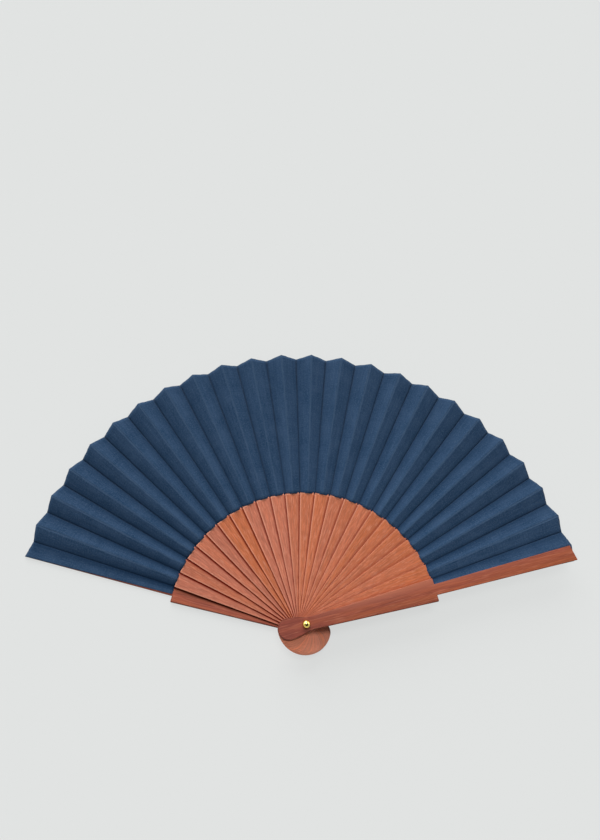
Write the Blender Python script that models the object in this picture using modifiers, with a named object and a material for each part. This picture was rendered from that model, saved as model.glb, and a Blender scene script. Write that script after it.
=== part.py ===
# Folding hand fan, lying open: two guards and a run of sticks on one rivet, with a pleated cloth leaf.
# The rivet's axis is the Z axis, Z = 0 is the outer face of the back guard, and the fan opens
# symmetrically about +Y. In a member's own axes X runs from the rivet to the tip and Y runs
# across it, anticlockwise as seen from above.
import math

import bmesh
import bpy

mm = 0.001

# Layout of the members
STICK_COUNT = 22
OPEN_PITCH = math.radians(6.5)   # from each member to the next, fan fully open
LAYER_GAP = 0.25 * mm            # between one member and the next along the rivet
MOUNTAIN_ANGLE = math.radians(1.65)  # from a member's centre line to either fold beside it

# Shape that every member shares, from the round tail to the shoulder
TAIL_REACH = 20.5 * mm           # rivet axis to the end of the tail
TAIL_RADIUS = 7.8 * mm
WAIST_AT = 7.0 * mm
WAIST_HALF = 4.65 * mm
SHOULDER_AT = 98.5 * mm
SHOULDER_HALF = 8.6 * mm
TAIL_STEPS = 7
NECK_STEPS = 8

# Stick: a flat blade, then a thin rib that twists to lie flat under its panel of the leaf
BLADE_THICKNESS = 0.5 * mm
RIB_HALF = 1.7 * mm
RIB_THICKNESS = 0.3 * mm
RIB_REACH = 206.0 * mm
TWIST_RUN = 1.5 * mm             # along the rib, from flat to lying under its panel
RIB_CUTS = 4                     # lines across the rib that let it follow the twist

# Guard: a thick blade, then a strip that is set back on the inner side to hold the folded leaf
GUARD_THICKNESS = 3.2 * mm
GUARD_RECESS = 1.6 * mm
RECESS_RUN = 0.5 * mm
STRIP_HALF_INNER = 4.0 * mm
STRIP_HALF_OUTER = 5.85 * mm
GUARD_REACH = 209.5 * mm
TIP_SLANT = 2.2 * mm             # how much shorter the tip's corner on the leaf's side is
EDGE_ROUND = 0.35 * mm
EDGE_ANGLE = math.radians(50)    # edges that turn less than this stay as they are

# Leaf
LEAF_THICKNESS = 0.2 * mm
LEAF_INNER = 99.3 * mm
MOUNTAIN_REACH = 209.5 * mm
VALLEY_REACH = 207.2 * mm
FOLD_RISE_INNER = 0.4 * mm       # height of a fold over its rib's middle, at the inner edge
FOLD_RISE_OUTER = 1.8 * mm       # the same at the outer edge
LEAF_CLEARANCE = 0.25 * mm
PLEAT_SPLIT = 0.3 * mm           # between the pleats of neighbouring members
LEAF_STATIONS = 4

# Rivet
PIN_RADIUS = 1.0 * mm
PIN_CLEARANCE = 0.15 * mm
FOOT_RADIUS = 2.2 * mm
FOOT_THICKNESS = 0.7 * mm
WASHER_RADIUS = 3.5 * mm
WASHER_THICKNESS = 0.5 * mm
SEAT_CLEARANCE = 0.2 * mm
BALL_RADIUS = 2.9 * mm
BALL_FLAT_RADIUS = 1.5 * mm
BALL_BORE_DEPTH = 2.4 * mm
ROUND_STEPS = 28
BALL_STEPS = 14
HOLE_POINTS = 20
CUT_OVERRUN = 0.5 * mm
WELD_DISTANCE = 0.001 * mm

# Worked out from the sizes above
MEMBER_COUNT = STICK_COUNT + 2
HOLE_RADIUS = PIN_RADIUS + PIN_CLEARANCE
STICK_PITCH = BLADE_THICKNESS + LAYER_GAP
FIRST_STICK_Z = GUARD_THICKNESS + LAYER_GAP
FRONT_GUARD_Z = FIRST_STICK_Z + STICK_COUNT * STICK_PITCH
TOP_Z = FRONT_GUARD_Z + GUARD_THICKNESS
WASHER_Z = FOOT_THICKNESS + SEAT_CLEARANCE
SEAT_Z = WASHER_Z + WASHER_THICKNESS + SEAT_CLEARANCE
LEAF_OVER_RIB = RIB_THICKNESS / 2 + LEAF_CLEARANCE + LEAF_THICKNESS / 2

# Finishes, as colour, roughness and metallic value
WOOD = ((0.48, 0.15, 0.085), 0.55, 0.0)
GUARD_WOOD = ((0.31, 0.088, 0.055), 0.5, 0.0)
CLOTH = ((0.028, 0.055, 0.105), 0.9, 0.0)
BRASS = ((0.83, 0.62, 0.25), 0.2, 1.0)
TONE_SHARE = 0.08                # how far a stick's colour strays from the wood's
TONE_TURN = math.radians(128)    # phase from each stick's tone to the next


def member_angle(k):
    middle = (MEMBER_COUNT - 1) / 2
    return math.pi / 2 + (middle - k) * OPEN_PITCH


def material(name, finish, tone=1.0):
    colour, roughness, metallic = finish
    made = bpy.data.materials.new(name)
    made.use_nodes = True
    shader = made.node_tree.nodes["Principled BSDF"]
    shader.inputs["Base Color"].default_value = (*(c * tone for c in colour), 1.0)
    shader.inputs["Roughness"].default_value = roughness
    shader.inputs["Metallic"].default_value = metallic
    return made


def stick_tone(k):
    # neighbouring sticks come from different strips of wood
    return 1 + TONE_SHARE * math.sin(k * TONE_TURN)


def place(obj, collection, parent, finish):
    collection.objects.link(obj)
    obj.parent = parent
    obj.data.materials.append(finish)
    return obj


def half_outline(reach, half_inner, half_outer):
    # one side of a member, from the end of its tail to its tip, as (along, across)
    centre = TAIL_RADIUS - TAIL_REACH
    side = []
    for i in range(TAIL_STEPS):
        turn = math.pi - i * math.pi / 2 / TAIL_STEPS
        side.append((centre + TAIL_RADIUS * math.cos(turn), TAIL_RADIUS * math.sin(turn)))
    for i in range(NECK_STEPS + 1):
        share = i / NECK_STEPS
        eased = (1 - math.cos(math.pi * share)) / 2
        along = centre + share * (WAIST_AT - centre)
        side.append((along, TAIL_RADIUS + eased * (WAIST_HALF - TAIL_RADIUS)))
    side.append((SHOULDER_AT, SHOULDER_HALF))
    side.append((SHOULDER_AT, half_inner))
    side.append((reach, half_outer))
    return side


def fold_rise(radius):
    share = (radius - LEAF_INNER) / (MOUNTAIN_REACH - LEAF_INNER)
    return FOLD_RISE_INNER + share * (FOLD_RISE_OUTER - FOLD_RISE_INNER)


def circle(radius, count):
    return [
        (radius * math.cos(i * math.tau / count), radius * math.sin(i * math.tau / count))
        for i in range(count)
    ]


def flat_solid(name, outlines, thickness):
    # fills a flat curve, gives it its thickness and returns it as a closed mesh resting on Z = 0
    data = bpy.data.curves.new(name, "CURVE")
    data.dimensions = "2D"
    data.fill_mode = "BOTH"
    data.extrude = thickness / 2
    for points in outlines:
        spline = data.splines.new("POLY")
        spline.points.add(len(points) - 1)
        for point, (x, y) in zip(spline.points, points):
            point.co = (x, y, 0, 1)
        spline.use_cyclic_u = True
    curve = bpy.data.objects.new(name + "_outline", data)
    bpy.context.scene.collection.objects.link(curve)
    depsgraph = bpy.context.evaluated_depsgraph_get()
    mesh = bpy.data.meshes.new_from_object(curve.evaluated_get(depsgraph))
    mesh.name = name
    bpy.data.objects.remove(curve)
    bpy.data.curves.remove(data)
    bm = bmesh.new()
    bm.from_mesh(mesh)
    bmesh.ops.translate(bm, verts=bm.verts, vec=(0, 0, thickness / 2))
    bmesh.ops.remove_doubles(bm, verts=bm.verts, dist=WELD_DISTANCE)
    return mesh, bm


def member_outline(upper_reach, lower_reach, half_inner, half_outer):
    upper = half_outline(upper_reach, half_inner, half_outer)
    lower = half_outline(lower_reach, half_inner, half_outer)
    return upper + [(x, -y) for x, y in reversed(lower[1:])]


def cut_across(bm, along):
    geometry = bm.verts[:] + bm.edges[:] + bm.faces[:]
    bmesh.ops.bisect_plane(bm, geom=geometry, plane_co=(along, 0, 0), plane_no=(1, 0, 0), dist=WELD_DISTANCE)


def stick_mesh():
    outline = member_outline(RIB_REACH, RIB_REACH, RIB_HALF, RIB_HALF)
    mesh, bm = flat_solid("stick", [outline, circle(HOLE_RADIUS, HOLE_POINTS)], BLADE_THICKNESS)
    twisted = SHOULDER_AT + TWIST_RUN
    cut_across(bm, SHOULDER_AT)
    for i in range(RIB_CUTS):
        cut_across(bm, twisted + i * (RIB_REACH - twisted) / RIB_CUTS)
    middle = BLADE_THICKNESS / 2
    for v in bm.verts:
        share = min(max((v.co.x - SHOULDER_AT) / TWIST_RUN, 0), 1)
        half = middle + share * (RIB_THICKNESS - BLADE_THICKNESS) / 2
        side = 1 if v.co.z > middle else -1
        v.co.z = middle + side * half
        if share:
            v.co.z += share * v.co.y * fold_rise(v.co.x) / (v.co.x * math.sin(MOUNTAIN_ANGLE))
    bm.to_mesh(mesh)
    bm.free()
    return mesh


def guard_mesh(name, recess_on_top):
    reaches = [GUARD_REACH - TIP_SLANT, GUARD_REACH]
    if recess_on_top:
        reaches.reverse()
    outline = member_outline(*reaches, STRIP_HALF_INNER, STRIP_HALF_OUTER)
    mesh, bm = flat_solid(name, [outline, circle(HOLE_RADIUS, HOLE_POINTS)], GUARD_THICKNESS)
    for along in (SHOULDER_AT, SHOULDER_AT + RECESS_RUN):
        cut_across(bm, along)
    for v in bm.verts:
        share = min(max((v.co.x - SHOULDER_AT) / RECESS_RUN, 0), 1)
        if recess_on_top == (v.co.z > GUARD_THICKNESS / 2):
            v.co.z += share * GUARD_RECESS * (-1 if recess_on_top else 1)
    bm.to_mesh(mesh)
    bm.free()
    return mesh


def fold(k, side, share):
    # a point of the fold on one side of member k, side 1 a mountain and -1 a valley
    reach = MOUNTAIN_REACH if side > 0 else VALLEY_REACH
    radius = LEAF_INNER + share * (reach - LEAF_INNER)
    turn = member_angle(k) + side * MOUNTAIN_ANGLE
    if k == 0:
        height = GUARD_THICKNESS - GUARD_RECESS + LEAF_CLEARANCE + LEAF_THICKNESS / 2
    elif k == MEMBER_COUNT - 1:
        height = FRONT_GUARD_Z + GUARD_RECESS - LEAF_CLEARANCE - LEAF_THICKNESS / 2
    else:
        middle = FIRST_STICK_Z + (k - 1) * STICK_PITCH + BLADE_THICKNESS / 2
        height = middle + LEAF_OVER_RIB + side * fold_rise(radius)
    return radius * math.cos(turn), radius * math.sin(turn), height


def drawn_in(point, towards, length):
    gap = math.dist(point, towards)
    return tuple(a + (b - a) * length / gap for a, b in zip(point, towards))


def pleat_mesh(k):
    # the panel glued to member k, and the free panel that climbs to the next member's mountain fold
    has_free_panel = k < MEMBER_COUNT - 1
    across = 2 if has_free_panel else 1
    mesh = bpy.data.meshes.new(f"leaf_pleat_{k:02d}")
    bm = bmesh.new()
    bmesh.ops.create_grid(bm, x_segments=across, y_segments=LEAF_STATIONS, size=1)
    bm.verts.ensure_lookup_table()
    for v in bm.verts:
        column = round((v.co.x + 1) / 2 * across)
        share = (v.co.y + 1) / 2
        mountain, valley = fold(k, 1, share), fold(k, -1, share)
        if column == 0:
            v.co = drawn_in(mountain, valley, PLEAT_SPLIT / 2)
        elif column == 1:
            v.co = valley
        else:
            v.co = drawn_in(fold(k + 1, 1, share), valley, PLEAT_SPLIT / 2)
    bm.to_mesh(mesh)
    bm.free()
    return mesh


def turned(name, profile, closed=False):
    # spins a profile of (radius, height) points about the Z axis
    mesh = bpy.data.meshes.new(name)
    bm = bmesh.new()
    verts = [bm.verts.new((radius, 0, height)) for radius, height in profile]
    for a, b in zip(verts, verts[1:] + verts[:1] if closed else verts[1:]):
        bm.edges.new((a, b))
    bm.to_mesh(mesh)
    bm.free()
    obj = bpy.data.objects.new(name, mesh)
    screw = obj.modifiers.new("Turn", "SCREW")
    screw.axis = "Z"
    screw.angle = math.tau
    screw.steps = ROUND_STEPS
    screw.render_steps = ROUND_STEPS
    screw.use_merge_vertices = True
    screw.merge_threshold = WELD_DISTANCE
    return obj


def make_sticks(collection, parent):
    shape = stick_mesh()
    for k in range(1, STICK_COUNT + 1):
        name = f"stick_{k:02d}"
        stick = bpy.data.objects.new(name, shape.copy())
        stick.location = (0, 0, FIRST_STICK_Z + (k - 1) * STICK_PITCH)
        stick.rotation_euler = (0, 0, member_angle(k))
        place(stick, collection, parent, material(name + "_wood", WOOD, stick_tone(k)))
    bpy.data.meshes.remove(shape)


def round_edges(guard):
    bevel = guard.modifiers.new("Eased edges", "BEVEL")
    bevel.width = EDGE_ROUND
    bevel.segments = 1
    bevel.limit_method = "ANGLE"
    bevel.angle_limit = EDGE_ANGLE


def make_guards(collection, cutters, parent):
    back = bpy.data.objects.new("back_guard", guard_mesh("back_guard", True))
    back.rotation_euler = (0, 0, member_angle(0))
    place(back, collection, parent, material("back_guard_wood", GUARD_WOOD))
    round_edges(back)

    bpy.ops.mesh.primitive_cylinder_add(
        vertices=ROUND_STEPS, radius=WASHER_RADIUS + SEAT_CLEARANCE, depth=SEAT_Z + CUT_OVERRUN,
        location=(0, 0, (SEAT_Z - CUT_OVERRUN) / 2),
    )
    seat = bpy.context.object
    seat.name = "washer_seat_cutter"
    for owner in seat.users_collection:
        owner.objects.unlink(seat)
    cutters.objects.link(seat)
    seat.display_type = "WIRE"
    seat.hide_render = True
    sink = back.modifiers.new("Washer seat", "BOOLEAN")
    sink.operation = "DIFFERENCE"
    sink.solver = "EXACT"
    sink.object = seat

    front = bpy.data.objects.new("front_guard", guard_mesh("front_guard", False))
    front.location = (0, 0, FRONT_GUARD_Z)
    front.rotation_euler = (0, 0, member_angle(MEMBER_COUNT - 1))
    place(front, collection, parent, material("front_guard_wood", GUARD_WOOD))
    round_edges(front)


def make_leaf(collection, parent):
    for k in range(MEMBER_COUNT):
        mesh = pleat_mesh(k)
        pleat = bpy.data.objects.new(mesh.name, mesh)
        place(pleat, collection, parent, material(mesh.name + "_cloth", CLOTH))
        wall = pleat.modifiers.new("Cloth", "SOLIDIFY")
        wall.thickness = LEAF_THICKNESS
        wall.offset = 0
        wall.use_even_offset = True


def make_rivet(collection, parent):
    ball_z = TOP_Z + LAYER_GAP + math.sqrt(BALL_RADIUS**2 - BALL_FLAT_RADIUS**2)
    flat_z = TOP_Z + LAYER_GAP
    bore_top = flat_z + BALL_BORE_DEPTH
    pin_top = bore_top - SEAT_CLEARANCE

    pin = turned("rivet_pin", [
        (0, pin_top), (PIN_RADIUS, pin_top), (PIN_RADIUS, FOOT_THICKNESS),
        (FOOT_RADIUS, FOOT_THICKNESS), (FOOT_RADIUS, 0), (0, 0),
    ])
    washer_top = WASHER_Z + WASHER_THICKNESS
    washer = turned("rivet_washer", [
        (HOLE_RADIUS, washer_top), (WASHER_RADIUS, washer_top),
        (WASHER_RADIUS, WASHER_Z), (HOLE_RADIUS, WASHER_Z),
    ], closed=True)
    end = math.pi - math.asin(BALL_FLAT_RADIUS / BALL_RADIUS)
    ball_profile = [
        (BALL_RADIUS * math.sin(i * end / BALL_STEPS), ball_z + BALL_RADIUS * math.cos(i * end / BALL_STEPS))
        for i in range(BALL_STEPS + 1)
    ]
    ball = turned("rivet_ball", ball_profile + [
        (HOLE_RADIUS, flat_z), (HOLE_RADIUS, bore_top), (0, bore_top),
    ])
    for piece in (pin, washer, ball):
        place(piece, collection, parent, material(piece.name + "_brass", BRASS))
    ball.data.shade_smooth()


def main():
    for obj in list(bpy.data.objects):
        bpy.data.objects.remove(obj)
    fan = bpy.data.collections.new("hand_fan")
    cutters = bpy.data.collections.new("cutters")
    bpy.context.scene.collection.children.link(fan)
    bpy.context.scene.collection.children.link(cutters)
    axis = bpy.data.objects.new("rivet_axis", None)
    fan.objects.link(axis)
    make_guards(fan, cutters, axis)
    make_sticks(fan, axis)
    make_leaf(fan, axis)
    make_rivet(fan, axis)


main()
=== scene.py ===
# Looks of the folding hand fan: fine wood, pleated cloth, brass rivet, floor, light and camera.
import math
import random

import bmesh
import bpy
from mathutils import Matrix, Vector, noise
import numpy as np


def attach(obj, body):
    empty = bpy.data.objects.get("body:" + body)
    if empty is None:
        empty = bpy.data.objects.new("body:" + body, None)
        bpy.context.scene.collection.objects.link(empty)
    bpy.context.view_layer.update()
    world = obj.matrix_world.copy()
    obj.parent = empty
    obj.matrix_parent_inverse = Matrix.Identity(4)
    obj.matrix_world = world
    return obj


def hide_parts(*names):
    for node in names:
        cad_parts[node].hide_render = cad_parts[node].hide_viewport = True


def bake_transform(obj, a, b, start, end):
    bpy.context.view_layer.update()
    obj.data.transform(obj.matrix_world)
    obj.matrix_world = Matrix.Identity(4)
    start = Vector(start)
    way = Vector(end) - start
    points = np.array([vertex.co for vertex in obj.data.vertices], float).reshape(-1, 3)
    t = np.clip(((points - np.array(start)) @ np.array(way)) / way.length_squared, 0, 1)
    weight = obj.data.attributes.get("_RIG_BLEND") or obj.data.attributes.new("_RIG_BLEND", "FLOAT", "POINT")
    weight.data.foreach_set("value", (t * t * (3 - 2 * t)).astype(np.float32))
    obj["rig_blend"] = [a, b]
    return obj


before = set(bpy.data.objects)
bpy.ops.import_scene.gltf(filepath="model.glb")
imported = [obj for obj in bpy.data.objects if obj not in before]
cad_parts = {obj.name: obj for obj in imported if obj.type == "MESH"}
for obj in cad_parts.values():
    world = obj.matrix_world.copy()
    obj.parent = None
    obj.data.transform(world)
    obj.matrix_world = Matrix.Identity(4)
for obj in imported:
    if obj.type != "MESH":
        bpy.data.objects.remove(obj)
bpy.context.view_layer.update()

mm = 0.001

# What every piece shares. A member is a stick or a guard. Its own X runs from the rivet to its tip,
# and its Y across it, anticlockwise as seen from above.
fan = {
    "sticks": 22,
    "pitch": math.radians(6.5),         # from each member to the next, fan open
    "firstStickZ": 3.45 * mm,
    "stickStep": 0.75 * mm,             # up the rivet, from each stick to the next
    "bladeThickness": 0.5 * mm,
    "guardThickness": 3.2 * mm,
    "guardRecess": 1.6 * mm,
    "foldAngle": math.radians(1.65),    # from a member's centre line to the fold on either side
    "shoulderAt": 98.5 * mm,
    "sharpAngle": math.radians(50),     # edges that turn more than this are eased
    "weld": 0.001 * mm,
}
fan["last"] = fan["sticks"] + 1
fan["frontGuardZ"] = fan["firstStickZ"] + fan["sticks"] * fan["stickStep"]
fan["topZ"] = fan["frontGuardZ"] + fan["guardThickness"]

pleat = {
    "mountainReach": 209.5 * mm,        # from the rivet to a fold's outer end
    "valleyReach": 207.2 * mm,
    "rise": 2.4 * mm,                   # of a fold over its rib's middle, at the outer edge
    "low": 2.05 * mm,                   # room for the first stick's pleat over the back guard
    "high": 1.5 * mm,                   # room for the last stick's pleat under the front guard
}


def memberAngle(k):
    return math.pi / 2 + (fan["last"] / 2 - k) * fan["pitch"]


def memberZ(k):
    # the underside of a member: 0 is the back guard, the last one the front guard
    if k == 0:
        return 0.0
    return fan["firstStickZ"] + (k - 1) * fan["stickStep"]


def memberName(k):
    if k == 0:
        return "back_guard"
    if k == fan["last"]:
        return "front_guard"
    return f"stick_{k:02d}"


def pleatSlope(k):
    # how steeply the rib of stick k and the panel glued to it lean; the guards press the last ones flat
    overBack = pleat["low"] + (k - 1) * fan["stickStep"]
    underFront = pleat["high"] + (fan["sticks"] - k) * fan["stickStep"]
    return min(pleat["rise"], overBack, underFront) / (pleat["mountainReach"] * math.sin(fan["foldAngle"]))


def shareOf(x, start, end):
    # how far x is on the way from start to end, 0 before it and 1 after it
    return min(max((x - start) / (end - start), 0), 1)


def towardsRight(levels, k):
    # one value at the left end, one in the middle and one at the right end, mixed for member k
    place = 2 * k / fan["last"]
    start = min(int(place), 1)
    return levels[start] + (place - start) * (levels[start + 1] - levels[start])


# Helpers for meshes

def newPiece(name, bm, material):
    mesh = bpy.data.meshes.new(name)
    bm.to_mesh(mesh)
    bm.free()
    piece = bpy.data.objects.new(name, mesh)
    bpy.context.scene.collection.objects.link(piece)
    mesh.materials.append(material)
    return piece


def drawTo(bm, vert, x, y, z=0.0):
    # one more edge of an outline
    grown = bmesh.ops.extrude_vert_indiv(bm, verts=[vert])["verts"][0]
    grown.co = (x, y, z)
    return grown


def arcFrom(bm, vert, centre, angle, steps):
    # a round stretch of an outline, and the vertex at its end
    arc = bmesh.ops.spin(
        bm, geom=[vert], cent=centre, axis=(0, 0, 1), angle=angle, steps=steps)["geom_last"]
    return [v for v in arc if isinstance(v, bmesh.types.BMVert)][0]


def raiseFaces(bm, faces, height):
    # gives flat faces a thickness and returns the vertices of the upper side
    raised = bmesh.ops.extrude_face_region(bm, geom=faces)["geom"]
    upper = [v for v in raised if isinstance(v, bmesh.types.BMVert)]
    bmesh.ops.translate(bm, verts=upper, vec=(0, 0, height))
    return upper


def cutAcross(bm, along):
    # new edges right across a member that lies along X
    bmesh.ops.bisect_plane(
        bm, geom=bm.verts[:] + bm.edges[:] + bm.faces[:], plane_co=(along, 0, 0), plane_no=(1, 0, 0),
        dist=fan["weld"])


def softenEdges(bm, width, segments):
    rims = [e for e in bm.edges if e.is_manifold and e.calc_face_angle() > fan["sharpAngle"]]
    bmesh.ops.bevel(
        bm, geom=rims, offset=width, offset_type="OFFSET", segments=segments, profile=0.5,
        affect="EDGES", material=-1, clamp_overlap=True)


# Helpers for materials

def feed(tree, socket, value):
    # a socket takes another node's output, or a plain value
    if isinstance(value, bpy.types.NodeSocket):
        tree.links.new(value, socket)
    else:
        socket.default_value = value


def newMaterial(name):
    made = bpy.data.materials.new(name)
    made.use_nodes = True
    return made, made.node_tree, made.node_tree.nodes["Principled BSDF"]


def placeOn(tree, mapName):
    uv = tree.nodes.new("ShaderNodeUVMap")
    uv.uv_map = mapName
    return uv.outputs["UV"]


def onMap(tree, mapName, scale):
    # the piece's own map, stretched by a scale along and a scale across
    mapping = tree.nodes.new("ShaderNodeMapping")
    mapping.inputs["Scale"].default_value = (scale[0], scale[1], 1)
    tree.links.new(placeOn(tree, mapName), mapping.inputs["Vector"])
    return mapping.outputs["Vector"]


def splitUp(tree, vector):
    parts = tree.nodes.new("ShaderNodeSeparateXYZ")
    tree.links.new(vector, parts.inputs["Vector"])
    return parts.outputs["X"], parts.outputs["Y"]


def cloudy(tree, vector, scale=1.0, detail=3.0, roughness=0.55):
    node = tree.nodes.new("ShaderNodeTexNoise")
    tree.links.new(vector, node.inputs["Vector"])
    node.inputs["Scale"].default_value = scale
    node.inputs["Detail"].default_value = detail
    node.inputs["Roughness"].default_value = roughness
    return node.outputs["Fac"]


def spread(tree, value, low, high, toLow=0.0, toHigh=1.0):
    node = tree.nodes.new("ShaderNodeMapRange")
    feed(tree, node.inputs["Value"], value)
    node.inputs["From Min"].default_value = low
    node.inputs["From Max"].default_value = high
    node.inputs["To Min"].default_value = toLow
    node.inputs["To Max"].default_value = toHigh
    return node.outputs["Result"]


def calc(tree, operation, a, b=0.0):
    node = tree.nodes.new("ShaderNodeMath")
    node.operation = operation
    feed(tree, node.inputs[0], a)
    feed(tree, node.inputs[1], b)
    return node.outputs["Value"]


def weighted(tree, parts):
    # adds up values, each times its share
    total = 0.0
    for value, share in parts:
        total = calc(tree, "ADD", total, calc(tree, "MULTIPLY", value, share))
    return total


def blendColour(tree, factor, a, b, how="MIX"):
    node = tree.nodes.new("ShaderNodeMix")
    node.data_type = "RGBA"
    node.blend_type = how
    feed(tree, node.inputs[0], factor)
    feed(tree, node.inputs[6], a if isinstance(a, bpy.types.NodeSocket) else (*a, 1))
    feed(tree, node.inputs[7], b if isinstance(b, bpy.types.NodeSocket) else (*b, 1))
    return node.outputs[2]


def blendShader(tree, factor, a, b, output):
    node = tree.nodes.new("ShaderNodeMixShader")
    tree.links.new(factor, node.inputs[0])
    tree.links.new(a, node.inputs[1])
    tree.links.new(b, node.inputs[2])
    tree.links.new(node.outputs["Shader"], tree.nodes[output].inputs["Surface"])


def attribute(tree, name):
    node = tree.nodes.new("ShaderNodeAttribute")
    node.attribute_name = name
    return node.outputs["Fac"]


def bumped(tree, shader, height, distance):
    node = tree.nodes.new("ShaderNodeBump")
    node.inputs["Distance"].default_value = distance
    tree.links.new(height, node.inputs["Height"])
    tree.links.new(node.outputs["Normal"], shader.inputs["Normal"])


# Wood

stickWood = {
    "pink": (0.470, 0.150, 0.092),
    "orange": (0.488, 0.134, 0.052),
    "pale": (0.700, 0.310, 0.205),
    "paleShare": 0.36,
    # colour of the painted shadow beside the next stick's edge
    "gap": (0.150, 0.006, 0.001),
    "rim": 1.08,               # how light the painted highlight on the rim is beside the rest
    # how far the rim's painted highlight goes towards the pale colour
    "rimPale": 0.8,
    "fibre": (110, 950),       # strands a metre, along and across
    "band": (22, 300),
    "pore": (300, 1700),
    "fleck": (150, 1000),
    "bandShare": 0.22,
    "hueSpread": 0.14,
    "darkest": 0.80,
    "lightest": 1.20,
    "roughness": 0.55,
    "shine": 0.10,
}

guardWood = {
    "pink": (0.272, 0.064, 0.043),
    "orange": (0.345, 0.092, 0.037),
    "pale": (0.510, 0.180, 0.105),
    "paleShare": 0.45,
    # colour of the painted shadow beside the next member's edge
    "gap": (0.055, 0.006, 0.002),
    # darker rim: painted shade round the front guard's tail, the guards' own darker edge elsewhere
    "rim": 0.66,
    "rimPale": 0.0,
    "fibre": (60, 1300),
    "band": (16, 260),
    "pore": (120, 1300),
    "fleck": (55, 900),
    "bandShare": 0.3,
    "hueSpread": 0.3,
    "darkest": 0.76,
    "lightest": 1.24,
    "roughness": 0.48,
    "shine": 0.10,
}

# What both woods share. A range is the part of a noise that counts.
grain = {
    "strandRange": (0.36, 0.64),
    "hueRange": (0.3, 0.7),
    "poreRange": (0.28, 0.42),
    "poreDark": 0.80,
    "fleckRange": (0.52, 0.68),
    "roughRange": (0.3, 0.7),
    "smoother": 0.06,
    "rougher": 0.08,
    "bump": 0.06 * mm,
    "nextAlong": 0.37,         # how far each member's map lies from the last one's
    "nextAcross": 0.053,
    "sideShare": 0.7,          # how fast the map runs up a member's sides
}

# Painted shadow on each member beside the edge of the member on top, darkest at the fan's left end
gap = {
    "core": 0.7 * mm,          # the painted shadow line beside the next member's edge
    "fade": 1.75 * mm,
    "falloff": 1.6,
    "dark": (0.98, 0.68, 0.21),    # at the fan's left end, in its middle and at its right end
    "wide": (1.40, 1.05, 2.0),
    "wholeAt": 60 * mm,        # it narrows from here towards the rivet
    "narrowest": (0.7, 0.4, 0.4),
}


def paintedGapShadow(tree):
    # painted shadow where the next member's edge lies on this one
    fromEdge, dark = splitUp(tree, placeOn(tree, "gap"))
    near = spread(tree, calc(tree, "ABSOLUTE", fromEdge), gap["core"], gap["fade"], 1.0, 0.0)
    return calc(tree, "MULTIPLY", calc(tree, "POWER", near, gap["falloff"]), dark)


def makeWood(name, look):
    made, tree, shader = newMaterial(name)
    fibre = cloudy(tree, onMap(tree, "grain", look["fibre"]), detail=4, roughness=0.6)
    band = cloudy(tree, onMap(tree, "grain", look["band"]), detail=2)
    pore = cloudy(tree, onMap(tree, "grain", look["pore"]), detail=2)
    fleck = cloudy(tree, onMap(tree, "grain", look["fleck"]), detail=2, roughness=0.7)
    rim = attribute(tree, "rim")
    gapShadow = paintedGapShadow(tree)

    hue = spread(tree, band, *grain["hueRange"], -look["hueSpread"], look["hueSpread"])
    hue = calc(tree, "ADD", attribute(tree, "warmth"), hue)
    colour = blendColour(tree, hue, look["pink"], look["orange"])

    strands = weighted(tree, [(fibre, 1 - look["bandShare"]), (band, look["bandShare"])])
    shade = spread(tree, strands, *grain["strandRange"], look["darkest"], look["lightest"])
    # each member's own tone, with the painted light on the sticks' tails
    shade = calc(tree, "MULTIPLY", shade, attribute(tree, "tone"))
    shade = calc(tree, "MULTIPLY", shade, spread(tree, pore, *grain["poreRange"], grain["poreDark"], 1.0))
    # the rim: a painted highlight on the sticks' edges, darker on the guards
    shade = calc(tree, "MULTIPLY", shade, spread(tree, rim, 0.0, 1.0, 1.0, look["rim"]))
    tint = tree.nodes.new("ShaderNodeCombineColor")
    for socket in tint.inputs:
        tree.links.new(shade, socket)
    colour = blendColour(tree, 1.0, colour, tint.outputs["Color"], "MULTIPLY")

    # pale flecks in the grain, and the worn attribute: wear on the front guard, painted light on the sticks'
    # tails
    worn = spread(tree, fleck, *grain["fleckRange"], 0.0, look["paleShare"])
    worn = calc(tree, "MAXIMUM", worn, attribute(tree, "worn"))
    # the sticks' rims also go pale as a painted highlight
    worn = calc(tree, "MAXIMUM", worn, calc(tree, "MULTIPLY", rim, look["rimPale"]))
    colour = blendColour(tree, worn, colour, look["pale"])
    # paints the shadow beside the next member's edge
    colour = blendColour(tree, gapShadow, colour, look["gap"])
    tree.links.new(colour, shader.inputs["Base Color"])

    smooth, rough = look["roughness"] - grain["smoother"], look["roughness"] + grain["rougher"]
    roughness = spread(tree, fibre, *grain["roughRange"], smooth, rough)
    tree.links.new(calc(tree, "MAXIMUM", roughness, gapShadow), shader.inputs["Roughness"])
    shader.inputs["Specular IOR Level"].default_value = look["shine"]
    bumped(tree, shader, strands, grain["bump"])
    return made


# The outline that every member has
outline = {
    "tailReach": 20.5 * mm,
    "tailRadius": 7.8 * mm,
    "tailEnd": -3.0 * mm,      # where the tail's finish changes to the blade's
    "waistAt": 7.0 * mm,
    "waistHalf": 4.65 * mm,
    "shoulderHalf": 8.6 * mm,
    "hole": 1.15 * mm,
    "tailSteps": 16,
    "neckSteps": 14,
    "holeSteps": 12,
    "cuts": [x * mm for x in (-14, -9, -4, 7, 20, 35, 55, 75)],     # where the tone may change
}


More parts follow.
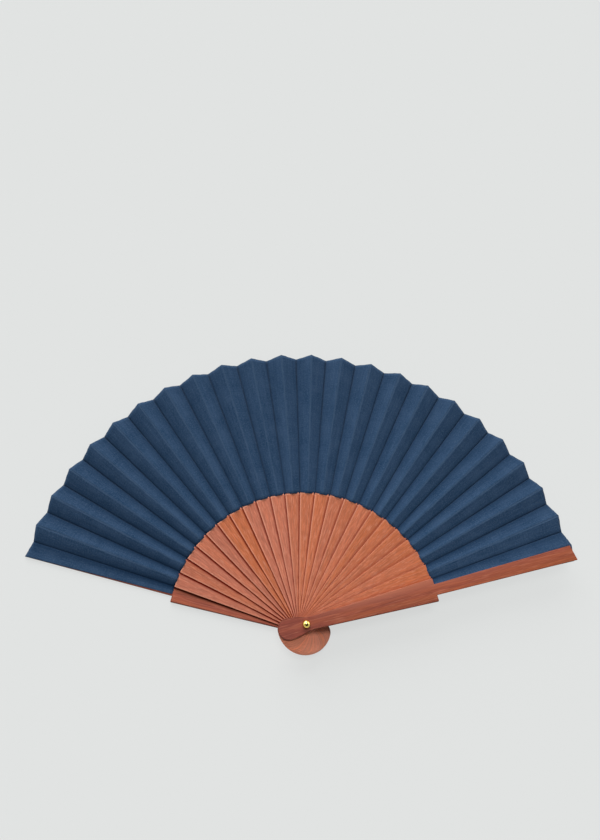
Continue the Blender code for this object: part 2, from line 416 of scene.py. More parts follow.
def halfOutline(bm, stripHalfInner, stripHalfOuter, reach, horn):
    # one side of a member as a flat face: tail, neck, blade, shoulder, strip, tip, and half the hole
    centre = outline["tailRadius"] - outline["tailReach"]
    start = bm.verts.new((-outline["tailReach"], 0, 0))
    at = arcFrom(bm, start, (centre, 0, 0), -math.pi / 2, outline["tailSteps"])
    for i in range(1, outline["neckSteps"] + 1):
        share = i / outline["neckSteps"]
        eased = (1 - math.cos(math.pi * share)) / 2
        half = outline["tailRadius"] + eased * (outline["waistHalf"] - outline["tailRadius"])
        at = drawTo(bm, at, centre + share * (outline["waistAt"] - centre), half)
    at = drawTo(bm, at, fan["shoulderAt"] + horn, outline["shoulderHalf"])
    at = drawTo(bm, at, fan["shoulderAt"], stripHalfInner)
    at = drawTo(bm, at, reach, stripHalfOuter)
    at = drawTo(bm, at, reach, 0)
    at = drawTo(bm, at, outline["hole"], 0)
    at = arcFrom(bm, at, (0, 0, 0), math.pi, outline["holeSteps"])
    bm.edges.new((at, start))
    bmesh.ops.contextual_create(bm, geom=bm.edges[:])


def memberSolid(stripHalfInner, stripHalfOuter, reach, thickness, horn=0.0):
    bm = bmesh.new()
    halfOutline(bm, stripHalfInner, stripHalfOuter, reach, horn)
    raiseFaces(bm, bm.faces[:], thickness)
    seam = [f for f in bm.faces if all(abs(v.co.y) < fan["weld"] for v in f.verts)]
    bmesh.ops.delete(bm, geom=seam, context="FACES_ONLY")
    bmesh.ops.mirror(bm, geom=bm.verts[:] + bm.edges[:] + bm.faces[:], axis="Y", merge_dist=fan["weld"])
    bmesh.ops.remove_doubles(bm, verts=bm.verts, dist=fan["weld"])
    bmesh.ops.recalc_face_normals(bm, faces=bm.faces)
    return bm


def markRim(bm, width):
    # 1 on the sides and along the edges, 0 on the flat faces a little way in
    rimLayer = bm.verts.layers.float.new("rim")
    for v in bm.verts:
        v[rimLayer] = 1.0
    for up in (1, -1):
        flat = [f for f in bm.faces if f.normal.z * up > 0.99]
        bmesh.ops.inset_region(bm, faces=flat, thickness=width, use_even_offset=True, use_boundary=True)
        for face in flat:
            for v in face.verts:
                v[rimLayer] = 0.0


def scaleRim(bm, levelAt):
    rimLayer = bm.verts.layers.float["rim"]
    for v in bm.verts:
        v[rimLayer] *= levelAt(v.co.x)


def bladeHalf(x):
    # about half a member's width at x
    if x < outline["waistAt"]:
        return outline["tailRadius"]
    share = shareOf(x, outline["waistAt"], fan["shoulderAt"])
    return outline["waistHalf"] + share * (outline["shoulderHalf"] - outline["waistHalf"])


def gapAt(k, x, y):
    # how far a point of member k is from the edge of the member on top, and how dark the painted shadow in
    # the gap is there
    if k == fan["last"]:
        return (1.0, 0.0)
    waist = Vector((outline["waistAt"], outline["waistHalf"]))
    shoulder = Vector((fan["shoulderAt"], outline["shoulderHalf"]))
    point = Matrix.Rotation(fan["pitch"], 2) @ Vector((x, y))
    narrow = min(max(x / gap["wholeAt"], towardsRight(gap["narrowest"], k)), 1)
    wide = narrow * towardsRight(gap["wide"], k)
    dark = towardsRight(gap["dark"], k) if x > outline["tailEnd"] else 0.0
    return ((shoulder - waist).normalized().cross(point - waist) / wide, dark)


def cutForTone(bm):
    for along in outline["cuts"]:
        cutAcross(bm, along)


def markWood(bm, k, tone, warmth, worn):
    # the maps and the values that the wood's material reads, for a member still lying along X
    cutForTone(bm)
    grainMap = bm.loops.layers.uv.new("grain")
    gapMap = bm.loops.layers.uv.new("gap")
    toneLayer = bm.verts.layers.float.new("tone")
    warmthLayer = bm.verts.layers.float.new("warmth")
    wornLayer = bm.verts.layers.float.new("worn")
    for face in bm.faces:
        for loop in face.loops:
            x, y, z = loop.vert.co
            across = y + grain["sideShare"] * z
            loop[grainMap].uv = (x + grain["nextAlong"] * k, across + grain["nextAcross"] * k)
            # the gap map: distance from the edge of the member on top, and how dark the painted shadow is
            # there
            loop[gapMap].uv = gapAt(k, x, y)
    for v in bm.verts:
        v[toneLayer] = tone(v.co.x, v.co.y)
        v[warmthLayer] = warmth(v.co.x, v.co.y)
        v[wornLayer] = worn(v.co.x, v.co.y)


def placeMember(bm, k):
    turn = Matrix.Rotation(memberAngle(k), 4, "Z")
    bmesh.ops.transform(bm, matrix=Matrix.Translation((0, 0, memberZ(k))) @ turn, verts=bm.verts)


def finishWood(piece, k):
    piece.data.shade_smooth()
    flatten = piece.modifiers.new("Flat faces", "WEIGHTED_NORMAL")
    flatten.keep_sharp = True
    flatten.weight = 100
    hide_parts(memberName(k))
    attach(piece, memberName(k))


# Sticks

stick = {
    "ribHalf": 1.7 * mm,
    "ribThickness": 0.3 * mm,
    "ribReach": 206.0 * mm,
    "horn": (-0.2 * mm, 0.25 * mm, 0.4 * mm),       # how far a shoulder's corner stands out
    "twistRun": 1.5 * mm,      # along the rib, from flat to leaning with its panel
    "twistCuts": 4,
    "edge": 0.15 * mm,
    "edgeSteps": 3,
    "rim": 1.1 * mm,
    "rimLevel": (0.7, 1.15, 0.12),   # painted highlight on the edges, at the fan's left end, in its middle and at its right end
    "rimWholeAt": 50 * mm,           # it fades from here towards the rivet
    "rimLeast": 0.3,
    "seed": 279,
    "toneSpread": 0.07,
    "toneInside": 0.93,        # at the rivet, rising to 1 at toneWholeAt
    "toneWholeAt": 55 * mm,
    # Painted light: the round tails are lifted paler than the blades against the shadow of the members above
    # them, and less on the first members' tails, which lie in the front guard's shadow. The next value mixes
    # them this far towards the pale colour, as part of the same painted light.
    "tailPaintedLight": (1.15, 1.70, 1.70),     # painted light on the round tails, which are paler than the blades
    "tailPale": 0.5,
    "tailSpread": 0.14,
    "warmth": (0.3, 0.7),      # pinker or more orange, the least and the most
    "orangeOnes": (6, 7),
    "orangeWarmth": 0.9,
    "pinkOnes": (1, 3, 5, 8, 9, 10),
    "pinkWarmth": 0.08,
    "warmerOutside": (-0.15, 0.12, 0.35),
    "warmerRun": (45 * mm, 95 * mm),    # where along a stick it changes
}

# The flat little block beside a rib, which closes the arch of cloth over it
root = {
    "from": 1.0 * mm,
    "wide": 4.7 * mm,          # across the shoulder
    "narrow": 2.7 * mm,        # and at its end
    "run": 2.6 * mm,
    "inset": 0.2 * mm,         # into the shoulder, and in from the blade's faces
}


def addRoot(bm):
    # returns the block's vertices, which the rib's twist leaves where they are
    oldVerts = set(bm.verts)
    oldEdges = set(bm.edges)
    base = fan["shoulderAt"] - root["inset"]
    end = fan["shoulderAt"] + root["run"]
    z = root["inset"] / 2
    start = bm.verts.new((base, root["from"], z))
    at = drawTo(bm, start, base, root["wide"], z)
    at = drawTo(bm, at, end, root["narrow"], z)
    at = drawTo(bm, at, end, root["from"], z)
    bm.edges.new((at, start))
    face = bmesh.ops.contextual_create(bm, geom=[e for e in bm.edges if e not in oldEdges])["faces"]
    upper = raiseFaces(bm, face, fan["bladeThickness"] - root["inset"])
    bmesh.ops.recalc_face_normals(bm, faces=list({f for v in upper for f in v.link_faces}))
    return [v for v in bm.verts if v not in oldVerts]


def stickFinish(k):
    # how light, warm and pale the wood of stick k is at a point of it, with the painted light on its tail
    draw = random.Random(stick["seed"] + k)
    light = 1 + draw.uniform(-1, 1) * stick["toneSpread"]
    warm = draw.uniform(*stick["warmth"])
    if k in stick["orangeOnes"]:
        warm = stick["orangeWarmth"]
    if k in stick["pinkOnes"]:
        warm = stick["pinkWarmth"]
    tail = towardsRight(stick["tailPaintedLight"], k) * (1 + draw.uniform(-1, 1) * stick["tailSpread"])
    tailPale = stick["tailPale"] * (1 + draw.uniform(-1, 1) * stick["tailSpread"])

    def tone(x, y):
        # the tail takes its painted light
        if x < outline["tailEnd"]:
            return light * tail
        share = shareOf(x, 0, stick["toneWholeAt"])
        return light * (stick["toneInside"] + share * (1 - stick["toneInside"]))

    def warmth(x, y):
        return warm + shareOf(x, *stick["warmerRun"]) * towardsRight(stick["warmerOutside"], k)

    # the pale mix on the tail, part of its painted light
    def worn(x, y):
        return tailPale if x < outline["tailEnd"] else 0.0

    return tone, warmth, worn


def twistRib(bm, k, rootVerts):
    # thins the rib and leans it with its panel of the leaf
    slope = pleatSlope(k)
    middle = fan["bladeThickness"] / 2
    thin = stick["ribThickness"] / fan["bladeThickness"]
    for v in bm.verts:
        if v in rootVerts:
            continue
        share = shareOf(v.co.x, fan["shoulderAt"], fan["shoulderAt"] + stick["twistRun"])
        v.co.z = middle + (v.co.z - middle) * (1 + share * (thin - 1)) + share * v.co.y * slope


def makeStick(k, material):
    # the strength of the painted highlight on this stick's edges
    def rimLevel(x):
        near = min(max(x / stick["rimWholeAt"], stick["rimLeast"]), 1) if x > 0 else 1
        return near * towardsRight(stick["rimLevel"], k)

    horn = towardsRight(stick["horn"], k)
    bm = memberSolid(stick["ribHalf"], stick["ribHalf"], stick["ribReach"], fan["bladeThickness"], horn)
    softenEdges(bm, stick["edge"], stick["edgeSteps"])
    markRim(bm, stick["rim"])
    scaleRim(bm, rimLevel)
    for i in range(stick["twistCuts"] + 1):
        cutAcross(bm, fan["shoulderAt"] + i * stick["twistRun"] / stick["twistCuts"])
    rootVerts = set(addRoot(bm))
    markWood(bm, k, *stickFinish(k))
    twistRib(bm, k, rootVerts)
    placeMember(bm, k)
    piece = newPiece(f"wood_stick_{k:02d}", bm, material)
    finishWood(piece, k)


# Guards

guard = {
    "stripHalfInner": 4.0 * mm,
    "stripHalfOuter": 5.85 * mm,
    "reach": 209.5 * mm,
    "slant": 2.2 * mm,         # how much shorter the tip's corner on the leaf's side is
    "tipZone": 1.5 * mm,       # the end that the slant moves
    "recessRun": 0.5 * mm,
    "edge": 0.4 * mm,
    "edgeSteps": 3,
    "rim": 0.5 * mm,
    "backWarmth": 0.4,
    "seatRadius": 3.7 * mm,    # round pocket for the washer, under the back guard
    "seatDepth": 1.6 * mm,
    "seatSteps": 64,
}

# The front guard's wood: maroon and darker at the tail, lighter and warmer from there on, and pale
# beside the sticks. A run is where along the guard a change starts and ends.
frontWood = {
    "tone": 0.86,
    "toneRise": 0.10,
    "toneAcross": 0.13,
    "toneRun": (-10 * mm, 80 * mm),
    "warmth": 0.05,
    "warmthRise": 0.35,
    "warmthAcross": -0.3,
    "warmthRun": (-5 * mm, 65 * mm),
    "worn": 0.6,
    "wornRun": (-5 * mm, 45 * mm),
    "rimOnBlade": 0.15,        # share of the dark rim that the blade keeps
    "stripRun": (fan["shoulderAt"], guard["reach"]),
    "stripTone": 0.08,         # lighter at the strip's start
    "stripWarmth": 0.25,       # warmer at its tip
    "stripWorn": -0.8,         # and less worn there
}


def frontTone(x, y):
    across = frontWood["toneAcross"] * y / bladeHalf(x)
    tone = frontWood["tone"] + shareOf(x, *frontWood["toneRun"]) * (frontWood["toneRise"] + across)
    if x > fan["shoulderAt"] + fan["weld"]:
        tone += frontWood["stripTone"] * (1 - shareOf(x, *frontWood["stripRun"]))
    return tone


def frontWarmth(x, y):
    across = frontWood["warmthAcross"] * y / bladeHalf(x)
    warmth = frontWood["warmth"] + shareOf(x, *frontWood["warmthRun"]) * (frontWood["warmthRise"] + across)
    return warmth + frontWood["stripWarmth"] * shareOf(x, *frontWood["stripRun"])


def frontWorn(x, y):
    level = frontWood["worn"] * (1 + frontWood["stripWorn"] * shareOf(x, *frontWood["stripRun"]))
    return level * shareOf(x, *frontWood["wornRun"]) * shareOf(y, 0, bladeHalf(x))


# the dark rim in full round the tail, where it is painted shade, and only a share of it on the blade
def frontRim(x):
    return 1 + shareOf(x, 0, outline["waistAt"]) * (frontWood["rimOnBlade"] - 1)


def steady(level):
    # the same value all over
    return lambda x, y: level


def sinkSeat(piece):
    bm = bmesh.new()
    bmesh.ops.create_cone(
        bm, cap_ends=True, segments=guard["seatSteps"], radius1=guard["seatRadius"],
        radius2=guard["seatRadius"], depth=2 * guard["seatDepth"])
    cutter = newPiece("seat_cutter", bm, piece.data.materials[0])
    cut = piece.modifiers.new("Washer seat", "BOOLEAN")
    cut.operation = "DIFFERENCE"
    cut.solver = "EXACT"
    cut.object = cutter
    graph = bpy.context.evaluated_depsgraph_get()
    sunk = bpy.data.meshes.new_from_object(piece.evaluated_get(graph))
    piece.modifiers.clear()
    piece.data = sunk
    bpy.data.objects.remove(cutter)


def makeGuard(k, material):
    front = k == fan["last"]
    inward = 1 if front else -1         # towards the leaf, both across the strip and along Z
    bm = memberSolid(
        guard["stripHalfInner"], guard["stripHalfOuter"], guard["reach"], fan["guardThickness"])
    softenEdges(bm, guard["edge"], guard["edgeSteps"])
    markRim(bm, guard["rim"])
    if front:
        cutForTone(bm)
        scaleRim(bm, frontRim)
    cutAcross(bm, fan["shoulderAt"] + guard["recessRun"])
    for v in bm.verts:
        onTop = v.co.z > fan["guardThickness"] / 2
        if onTop != front:
            share = shareOf(v.co.x, fan["shoulderAt"], fan["shoulderAt"] + guard["recessRun"])
            v.co.z += share * fan["guardRecess"] * inward
        if v.co.x > guard["reach"] - guard["tipZone"]:
            v.co.x -= guard["slant"] * (1 + inward * v.co.y / guard["stripHalfOuter"]) / 2
    if front:
        markWood(bm, k, frontTone, frontWarmth, frontWorn)
    else:
        markWood(bm, k, steady(1.0), steady(guard["backWarmth"]), steady(0.0))
    placeMember(bm, k)
    piece = newPiece("wood_" + memberName(k), bm, material)
    if not front:
        sinkSeat(piece)
    finishWood(piece, k)


# Leaf

leaf = {
    "inner": 98.55 * mm,
    "overEnd": 0.15 * mm,      # how much further in the cloth reaches at a mountain, over the stick's end
    "overRib": 0.3 * mm,       # from the rib's middle to the cloth's middle
    "overGuard": 0.2 * mm,     # from the guard's strip to the cloth's middle
    "thickness": 0.18 * mm,
    "across": 10,
    "along": 44,
    "slackFree": 0.16 * mm,    # how far a panel swells and sags between its folds
    "slackGlued": 0.08 * mm,
    # two waves of slack: their pace across, along and from panel to panel, and their share
    "waves": (((3.1, 5.0, 7.7), 1.0), ((6.0, 14.0, 3.3), 0.5)),
    "uneven": 0.35 * mm,       # how far the outer edge strays
    "unevenFrom": 7 / 8,
    "unevenPace": (4.0, 2.9),  # across, and from panel to panel
    # at the left end, the middle and the right end of the leaf: where across a panel the painted shade
    # towards its valley starts, and how dark it gets
    "shadeGlued": (0.22, 0.46, 0.7),
    "shadeFree": (0.15, 0.25, 0.2),
    "deepGlued": (0.95, 0.28, 0.85),
    "deepFree": (1.0, 0.38, 0.90),
    "shadePower": 1.3,
    "shadeOutside": 0.62,      # share of the painted shade that is left at the outer edge
}

cloth = {
    "colour": (0.0335, 0.0695, 0.1360),
    "lighter": (0.0580, 0.1000, 0.1660),
    "darker": (0.0125, 0.0390, 0.0880),
    "deepest": (0.0015, 0.0140, 0.0400),    # painted shade down in a valley
    "thread": (22, 620),       # threads a metre, along and across the pleat
    "fine": (90, 1700),
    "weft": (1300, 70),
    "mottle": (60, 60),
    "speck": (900, 900),
    "weave": (2400, 2400),
    "threadShare": 0.22,       # what each noise adds to the shade
    "fineShare": 0.25,
    "weftShare": 0.2,
    "mottleShare": 0.33,
    "shadeRange": (0.375, 0.585),
    "speckRange": (0.5, 0.7),
    "speckLevel": 0.8,
    "foldLine": 0.10,          # share of a panel's width that the worn fold takes
    "foldWorn": 0.6,
    "edgeLine": 0.014,         # share of its length that the outer edge takes
    "edgeWorn": 0.7,
    "wornLeast": 0.35,         # between the fine threads
    "wornRange": (0.3, 0.7),
    "roughness": 0.9,
    "sheen": 0.03,
    "sheenRoughness": 0.5,
    "shine": 0.08,
    "bump": 0.24 * mm,
    "bumpThreads": 0.7,        # the rest of the bump is weave
    "nextAlong": 0.29,         # how far each panel's map lies from the last one's
    "nextAcross": 0.083,
}


def makeCloth():
    made, tree, shader = newMaterial("slate_cloth")
    threads = cloudy(tree, onMap(tree, "cloth", cloth["thread"]), detail=3, roughness=0.6)
    fine = cloudy(tree, onMap(tree, "cloth", cloth["fine"]), detail=2)
    weft = cloudy(tree, onMap(tree, "cloth", cloth["weft"]), detail=2)
    mottle = cloudy(tree, onMap(tree, "cloth", cloth["mottle"]), detail=4)
    speck = cloudy(tree, onMap(tree, "cloth", cloth["speck"]), detail=2, roughness=0.8)
    weave = cloudy(tree, onMap(tree, "cloth", cloth["weave"]), detail=1)
    across, along = splitUp(tree, placeOn(tree, "fold"))

    shade = weighted(tree, [
        (threads, cloth["threadShare"]), (fine, cloth["fineShare"]), (weft, cloth["weftShare"]),
        (mottle, cloth["mottleShare"])])
    colour = blendColour(tree, spread(tree, shade, *cloth["shadeRange"]), cloth["darker"], cloth["colour"])
    specks = spread(tree, speck, *cloth["speckRange"], 0.0, cloth["speckLevel"])
    colour = blendColour(tree, specks, colour, cloth["lighter"])
    # painted shade towards each valley
    colour = blendColour(tree, attribute(tree, "deep"), colour, cloth["deepest"])

    onFold = spread(tree, across, 0.0, cloth["foldLine"], cloth["foldWorn"], 0.0)
    onEdge = spread(tree, along, 1 - cloth["edgeLine"], 1.0, 0.0, cloth["edgeWorn"])
    worn = calc(tree, "MAXIMUM", onFold, onEdge)
    worn = calc(tree, "MULTIPLY", worn, spread(tree, fine, *cloth["wornRange"], cloth["wornLeast"], 1.0))
    colour = blendColour(tree, worn, colour, cloth["lighter"])
    tree.links.new(colour, shader.inputs["Base Color"])

    shader.inputs["Roughness"].default_value = cloth["roughness"]
    shader.inputs["Sheen Weight"].default_value = cloth["sheen"]
    shader.inputs["Sheen Roughness"].default_value = cloth["sheenRoughness"]
    shader.inputs["Specular IOR Level"].default_value = cloth["shine"]
    height = weighted(tree, [(threads, cloth["bumpThreads"]), (weave, 1 - cloth["bumpThreads"])])
    bumped(tree, shader, height, cloth["bump"])
    return made


def foldLine(k, side):
    # the fold beside member k, side 1 a mountain and -1 a valley, as a function of the share along it
    onGuard = k in (0, fan["last"])
    reach = pleat["mountainReach"] if side > 0 else pleat["valleyReach"]
    inner = leaf["inner"] - (leaf["overEnd"] if side > 0 and not onGuard else 0)
    turn = memberAngle(k) + side * fan["foldAngle"]

    def point(share):
        radius = inner + share * (reach - inner)
        if k == 0:
            height = fan["guardThickness"] - fan["guardRecess"] + leaf["overGuard"]
        elif k == fan["last"]:
            height = fan["frontGuardZ"] + fan["guardRecess"] - leaf["overGuard"]
        else:
            lean = radius * math.sin(fan["foldAngle"]) * pleatSlope(k)
            height = memberZ(k) + fan["bladeThickness"] / 2 + leaf["overRib"] + side * lean
        return Vector((radius * math.cos(turn), radius * math.sin(turn), height))

    return point


def shadeAt(across, along, start, deepest):
    # painted shade: how dark a panel is towards its valley, most of all near the sticks
    fall = shareOf(across, start, 1) ** leaf["shadePower"]
    return fall * deepest * (leaf["shadeOutside"] + (1 - leaf["shadeOutside"]) * (1 - along))


def slackAt(across, along, number):
    # between -1.5 and 1.5, and 0 on the folds
    wave = 0
    for pace, share in leaf["waves"]:
        place = Vector((pace[0] * across, pace[1] * along, pace[2] * number))
        wave += share * noise.noise(place)
    return wave * math.sin(math.pi * across)


def strayAt(across, along, number):
    # how far the outer edge stands out or in
    place = Vector((leaf["unevenPace"][0] * across, leaf["unevenPace"][1] * number, 0.5))
    stray = noise.noise(place) * leaf["uneven"] * math.sin(math.pi * across)
    return stray * shareOf(along, leaf["unevenFrom"], 1)


def panelMesh(first, second, number, slack, start, deepest):
    # a strip of cloth between two folds, from a mountain to a valley
    bm = bmesh.new()
    deepLayer = bm.verts.layers.float.new("deep")
    clothMap = bm.loops.layers.uv.new("cloth")
    foldMap = bm.loops.layers.uv.new("fold")
    bmesh.ops.create_grid(bm, x_segments=leaf["across"], y_segments=leaf["along"], size=0.5)
    shares = {v: (v.co.x + 0.5, v.co.y + 0.5) for v in bm.verts}
    length = (first(1) - first(0)).length
    lift = (second(1) - first(0)).cross(first(1) - first(0)).normalized()
    if lift.z < 0:
        lift.negate()
    for face in bm.faces:
        for loop in face.loops:
            across, along = shares[loop.vert]
            width = (second(along) - first(along)).length
            loop[foldMap].uv = (across, along)
            loop[clothMap].uv = (
                along * length + cloth["nextAlong"] * number,
                (across - 0.5) * width + cloth["nextAcross"] * number)
    for v, (across, along) in shares.items():
        # the painted shade towards the valley
        v[deepLayer] = shadeAt(across, along, start, deepest)
        v.co = first(along).lerp(second(along), across)
        v.co += lift * slack * slackAt(across, along, number)
        v.co += Vector((v.co.x, v.co.y, 0)).normalized() * strayAt(across, along, number)
    bmesh.ops.recalc_face_normals(bm, faces=bm.faces)
    if sum(f.normal.z for f in bm.faces) < 0:
        bmesh.ops.reverse_faces(bm, faces=bm.faces)
    return bm


def finishPanel(piece, first, second):
    piece.data.shade_smooth()
    wall = piece.modifiers.new("Cloth", "SOLIDIFY")
    wall.thickness = leaf["thickness"]
    wall.offset = 0
    widths = [(second(share) - first(share)).length for share in (0, 1)]
    length = (first(1) - first(0)).length


def makeGluedPanel(k, material):
    first, second = foldLine(k, 1), foldLine(k, -1)
    start, deepest = towardsRight(leaf["shadeGlued"], k), towardsRight(leaf["deepGlued"], k)
    bm = panelMesh(first, second, 2 * k, leaf["slackGlued"], start, deepest)
    piece = newPiece(f"leaf_glued_{k:02d}", bm, material)
    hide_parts(f"leaf_pleat_{k:02d}")
    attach(piece, memberName(k))
    finishPanel(piece, first, second)


def feet(a, b, c, d):
    # the nearest points of the lines ab and cd
    along, other = b - a, d - c
    square = along.cross(other)
    square /= square.length_squared
    apart = c - a
    return a + along * apart.cross(other).dot(square), c + other * apart.cross(along).dot(square)


def makeFreePanel(k, material):
    # from the valley beside member k up to the mountain beside the next one
    first, second = foldLine(k + 1, 1), foldLine(k, -1)
    start, deepest = towardsRight(leaf["shadeFree"], k), towardsRight(leaf["deepFree"], k)
    bm = panelMesh(first, second, 2 * k + 1, leaf["slackFree"], start, deepest)
    piece = newPiece(f"leaf_free_{k:02d}", bm, material)
    onThis, onNext = feet(second(0), second(1), first(0), first(1))
    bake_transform(piece, memberName(k), memberName(k + 1), start=onThis, end=onNext)
    finishPanel(piece, first, second)


# Rivet

rivet = {
    "pinRadius": 1.0 * mm,
    "footRadius": 2.2 * mm,
    "footThickness": 0.7 * mm,
    "washerRadius": 3.5 * mm,
    "washerHole": 1.15 * mm,
    "washerZ": 0.9 * mm,
    "washerThickness": 0.5 * mm,
    "ballRadius": 2.9 * mm,
    "ballFlat": 1.5 * mm,      # radius of the flat that rests on the front guard
    "overGuard": 0.25 * mm,
    "boreDepth": 2.4 * mm,
    "clearance": 0.2 * mm,
    "edge": 0.08 * mm,
    "edgeSteps": 2,
    "steps": 72,
    "ballSteps": 30,
}

brass = {
    "bright": (0.90, 0.70, 0.20),
    "dull": (0.84, 0.62, 0.14),
    "clouds": 900,             # a metre
    "colourRange": (0.35, 0.65),
    "roughRange": (0.3, 0.7),
    "smoothest": 0.05,
    "roughest": 0.10,
}


def makeBrass():
    made, tree, shader = newMaterial("polished_brass")
    place = tree.nodes.new("ShaderNodeTexCoord")
    cloud = cloudy(tree, place.outputs["Object"], scale=brass["clouds"], detail=3)
    colour = blendColour(tree, spread(tree, cloud, *brass["colourRange"]), brass["bright"], brass["dull"])
    tree.links.new(colour, shader.inputs["Base Color"])
    roughness = spread(tree, cloud, *brass["roughRange"], brass["smoothest"], brass["roughest"])
    tree.links.new(roughness, shader.inputs["Roughness"])
    shader.inputs["Metallic"].default_value = 1.0
    return made


def turned(name, node, profile, material, closed=False):
    # spins a profile of (radius, height) points about the rivet's axis
    bm = bmesh.new()
    first = bm.verts.new((profile[0][0], 0, profile[0][1]))
    at = first
    for radius, height in profile[1:]:
        at = drawTo(bm, at, radius, 0, height)
    if closed:
        bm.edges.new((at, first))
    bmesh.ops.spin(
        bm, geom=bm.verts[:] + bm.edges[:], cent=(0, 0, 0), axis=(0, 0, 1), angle=math.tau,
        steps=rivet["steps"], use_merge=True)
    bmesh.ops.remove_doubles(bm, verts=bm.verts, dist=fan["weld"])
    bmesh.ops.recalc_face_normals(bm, faces=bm.faces)
    softenEdges(bm, rivet["edge"], rivet["edgeSteps"])
    piece = newPiece(name, bm, material)
    piece.data.shade_smooth()
    piece.data.set_sharp_from_angle(angle=fan["sharpAngle"])
    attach(piece, "back_guard")
    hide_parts(node)


def makeRivet(material):
    flatZ = fan["topZ"] + rivet["overGuard"]
    boreTop = flatZ + rivet["boreDepth"]
    pinTop = boreTop - rivet["clearance"]
    turned("brass_pin", "rivet_pin", [
        (0, pinTop), (rivet["pinRadius"], pinTop), (rivet["pinRadius"], rivet["footThickness"]),
        (rivet["footRadius"], rivet["footThickness"]), (rivet["footRadius"], 0), (0, 0)],
        material)
    washerTop = rivet["washerZ"] + rivet["washerThickness"]
    turned("brass_washer", "rivet_washer", [
        (rivet["washerHole"], washerTop), (rivet["washerRadius"], washerTop),
        (rivet["washerRadius"], rivet["washerZ"]), (rivet["washerHole"], rivet["washerZ"])],
        material, closed=True)
    radius = rivet["ballRadius"]
    ballZ = flatZ + math.sqrt(radius**2 - rivet["ballFlat"] ** 2)
    end = math.pi - math.asin(rivet["ballFlat"] / radius)
    turns = [i * end / rivet["ballSteps"] for i in range(rivet["ballSteps"] + 1)]
    arc = [(radius * math.sin(turn), ballZ + radius * math.cos(turn)) for turn in turns]
    bore = [(rivet["washerHole"], flatZ), (rivet["washerHole"], boreTop), (0, boreTop)]
    turned("brass_ball", "rivet_ball", arc + bore, material)


# Floor, light and camera

studio = {
    "floor": (0.753, 0.768, 0.761),
    "floorZ": -0.2 * mm,
    "floorHalf": 3.0,
    # share of the floor's colour that no shadow reaches, left and right, and where along x it changes
    "floorLift": (0.80, 0.86),
    "liftRun": (0.0, 150 * mm),
    "ceiling": {"azimuth": 108, "height": 80, "size": 16, "share": 0.30},
    "window": {"azimuth": 106, "height": 31, "size": 50, "share": 0.46},
    "patch": (0.09, -0.46, 0.88),       # where the metal sees something dark
    "patchRange": (0.72, 0.80),
    "patchColour": (0.02, 0.02, 0.02),
    "panels": [(-0.70, 0.46, 0.55), (0.81, 0.42, 0.40)],    # and something bright
    "panelRange": (0.86, 0.92),
    "panelLight": 2.6,
    "inMetal": 0.7,                     # how light the rest of the room is in the metal
}


def makeFloor():
    bm = bmesh.new()
    bmesh.ops.create_grid(bm, x_segments=1, y_segments=1, size=studio["floorHalf"])
    bmesh.ops.translate(bm, verts=bm.verts, vec=(0, 0, studio["floorZ"]))
    made, tree, shader = newMaterial("pale_floor")
    shader.inputs["Base Color"].default_value = (*studio["floor"], 1)
    shader.inputs["Roughness"].default_value = 1.0
    shader.inputs["Specular IOR Level"].default_value = 0.0
    plain = tree.nodes.new("ShaderNodeEmission")
    plain.inputs["Color"].default_value = (*studio["floor"], 1)
    path = tree.nodes.new("ShaderNodeLightPath")
    place = tree.nodes.new("ShaderNodeTexCoord")
    fromLeft = splitUp(tree, place.outputs["Object"])[0]
    lift = spread(tree, fromLeft, *studio["liftRun"], *studio["floorLift"])
    lifted = calc(tree, "MULTIPLY", path.outputs["Is Camera Ray"], lift)
    blendShader(tree, lifted, shader.outputs["BSDF"], plain.outputs["Emission"], "Material Output")
    floor = newPiece("floor", bm, made)


def makeLamp(name, look):
    # azimuth, height and size in degrees, share of the light that falls on the floor
    azimuth, height = math.radians(look["azimuth"]), math.radians(look["height"])
    lamp = bpy.data.lights.new(name, "SUN")
    lamp.energy = math.pi * look["share"] / math.sin(height)
    lamp.angle = math.radians(look["size"])
    shining = bpy.data.objects.new(name, lamp)
    level = math.cos(height)
    towards = Vector((math.cos(azimuth) * level, math.sin(azimuth) * level, math.sin(height)))
    shining.rotation_euler = towards.to_track_quat("Z", "Y").to_euler()
    bpy.context.scene.collection.objects.link(shining)


def towardsPatch(tree, direction, edge):
    # 1 in a round patch of the sky, 0 outside it
    place = tree.nodes.new("ShaderNodeTexCoord")
    facing = tree.nodes.new("ShaderNodeVectorMath")
    facing.operation = "DOT_PRODUCT"
    facing.inputs[1].default_value = Vector(direction).normalized()
    tree.links.new(place.outputs["Generated"], facing.inputs[0])
    return spread(tree, facing.outputs["Value"], *edge)


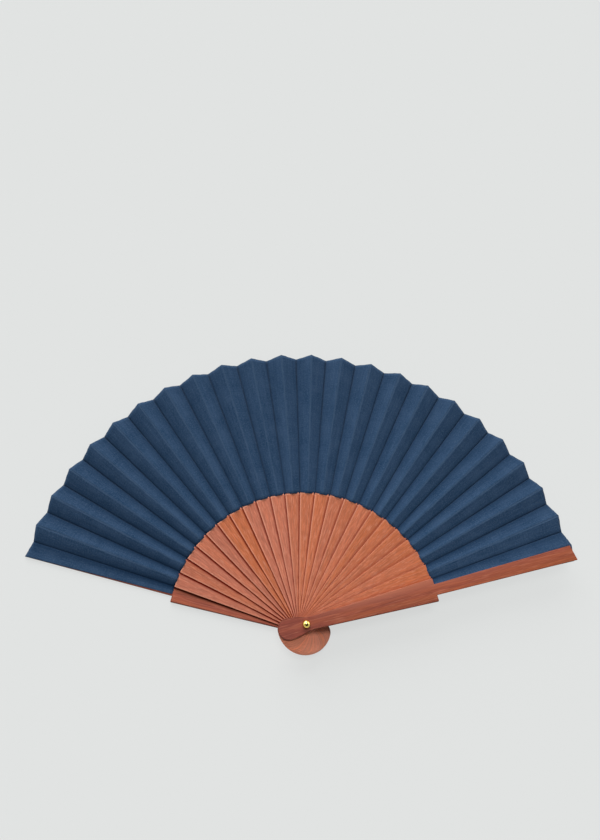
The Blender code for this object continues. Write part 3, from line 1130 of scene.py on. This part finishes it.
def makeWorld():
    world = bpy.data.worlds.new("studio")
    world.use_nodes = True
    bpy.context.scene.world = world
    tree = world.node_tree
    plain = tree.nodes["Background"]
    plain.inputs["Color"].default_value = (1, 1, 1, 1)
    plain.inputs["Strength"].default_value = 1 - studio["ceiling"]["share"] - studio["window"]["share"]
    seen = tree.nodes.new("ShaderNodeBackground")
    path = tree.nodes.new("ShaderNodeLightPath")
    glossy = path.outputs["Is Glossy Ray"]
    dark = calc(tree, "MULTIPLY", towardsPatch(tree, studio["patch"], studio["patchRange"]), glossy)
    tree.links.new(blendColour(tree, dark, studio["floor"], studio["patchColour"]), seen.inputs["Color"])
    panels = [towardsPatch(tree, direction, studio["panelRange"]) for direction in studio["panels"]]
    bright = weighted(tree, [(panel, glossy) for panel in panels])
    room = spread(tree, glossy, 0.0, 1.0, 1.0, studio["inMetal"])
    glow = spread(tree, bright, 0.0, 1.0, 0.0, studio["panelLight"])
    tree.links.new(calc(tree, "ADD", room, glow), seen.inputs["Strength"])
    either = calc(tree, "MAXIMUM", path.outputs["Is Camera Ray"], glossy)
    blendShader(tree, either, plain.outputs["Background"], seen.outputs["Background"], "World Output")


lens = {
    "place": (-71.785 * mm, -78.879 * mm, 741.576 * mm),
    "turn": (17.866, -5.121, 1.588),    # degrees, about Z first, then Y, then X
    "sensor": 36,                       # mm
    "focalPixels": 1000,
    "imageHeight": 840,
    "nearest": 10 * mm,
}


def makeCamera():
    made = bpy.data.cameras.new("photo")
    made.sensor_width = lens["sensor"]
    made.lens = lens["sensor"] * lens["focalPixels"] / lens["imageHeight"]
    made.clip_start = lens["nearest"]
    camera = bpy.data.objects.new("photo", made)
    camera.location = lens["place"]
    camera.rotation_mode = "ZYX"
    camera.rotation_euler = [math.radians(turn) for turn in lens["turn"]]
    bpy.context.scene.collection.objects.link(camera)
    bpy.context.scene.camera = camera


def main():
    bpy.context.scene.view_settings.view_transform = "Standard"
    wood = makeWood("stick_wood", stickWood)
    darkWood = makeWood("guard_wood", guardWood)
    for k in range(1, fan["last"]):
        makeStick(k, wood)
    print("sticks made")
    makeGuard(0, darkWood)
    makeGuard(fan["last"], darkWood)
    print("guards made")
    slate = makeCloth()
    for k in range(fan["last"] + 1):
        makeGluedPanel(k, slate)
    for k in range(fan["last"]):
        makeFreePanel(k, slate)
    print("leaf made")
    makeRivet(makeBrass())
    print("rivet made")
    makeFloor()
    makeLamp("ceiling", studio["ceiling"])
    makeLamp("window", studio["window"])
    makeWorld()
    makeCamera()
    print("floor, light and camera made")


main()
